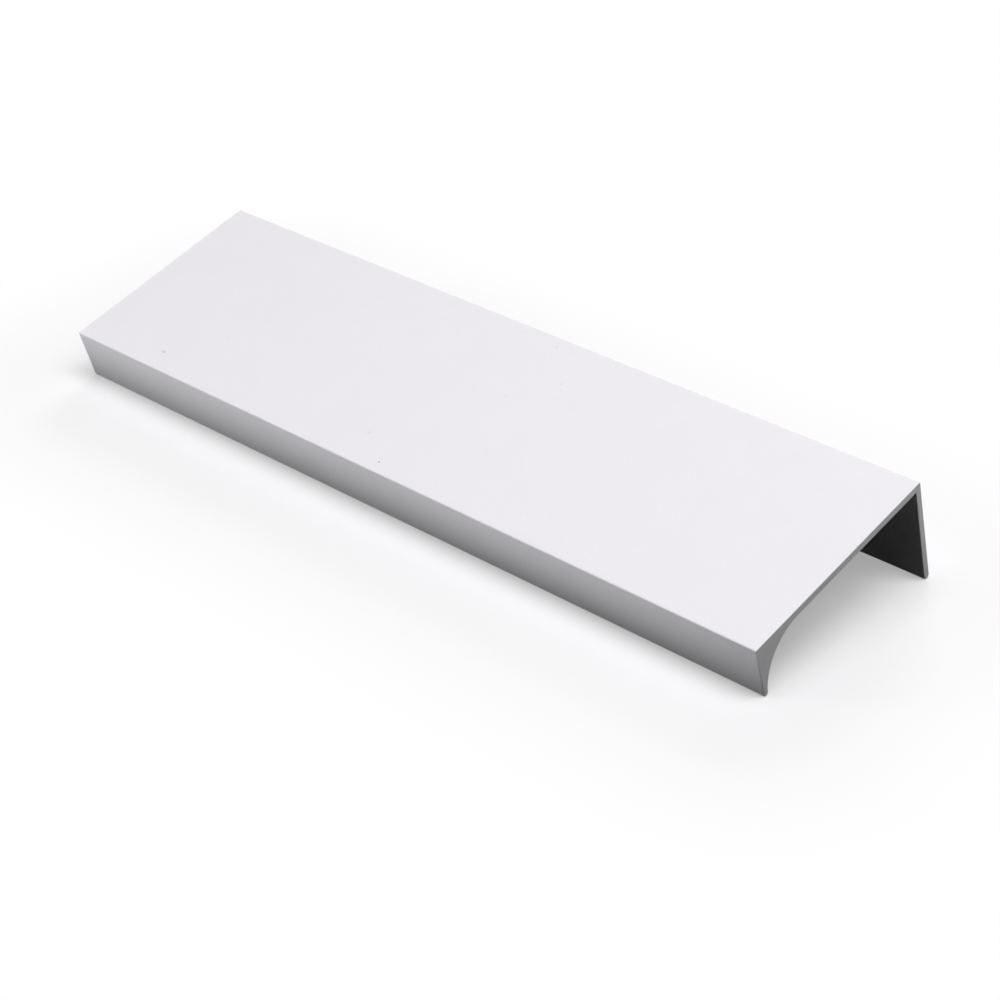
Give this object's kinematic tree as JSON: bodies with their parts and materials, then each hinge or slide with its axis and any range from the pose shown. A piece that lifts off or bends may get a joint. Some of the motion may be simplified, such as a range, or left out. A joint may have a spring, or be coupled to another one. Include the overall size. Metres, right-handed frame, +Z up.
{
  "type": "finger pull profile",
  "caption": "Thin extruded edge pull: a flat plate with a down-turned front lip to hook the fingers behind and a longer rear leg with countersunk screw holes.",
  "frame": {"origin": "on the resting surface, under the middle of the box of the part", "axes": "+X along the profile, +Y from the lip towards the leg, +Z up; the part stands on the feet of its lip and leg, so its plate rises 14.0 degrees towards +Y"},
  "size_m": [0.16, 0.047, 0.0205],
  "materials": {
    "white_coat": "matte white powder coat on extruded aluminium, very fine orange-peel texture"
  },
  "bodies": {
    "root": {"finger_pull_profile": "white_coat"}
  },
  "joints": []
}
